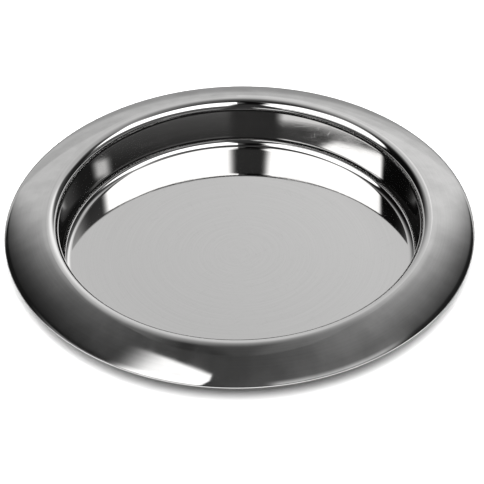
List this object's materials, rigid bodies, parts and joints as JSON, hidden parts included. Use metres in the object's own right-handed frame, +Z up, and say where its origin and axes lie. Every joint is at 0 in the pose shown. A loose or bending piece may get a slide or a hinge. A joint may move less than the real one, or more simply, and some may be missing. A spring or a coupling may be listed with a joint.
{
  "type": "offering plate",
  "caption": "Small round mirror-polished stainless dish with a flat floor, a steep wall and a broad turned-down rim, for coins, cards or a folded bill.",
  "frame": {"origin": "centre of the underside of the flat floor, on the surface the plate stands on", "axes": "+Z up along the plate's axis of revolution; the plate is round, so +X and +Y are any two level directions at right angles"},
  "size_m": [0.11, 0.11, 0.0127],
  "materials": {
    "polished_steel": "polished"
  },
  "bodies": {
    "root": {"plate": "polished_steel"}
  },
  "joints": []
}
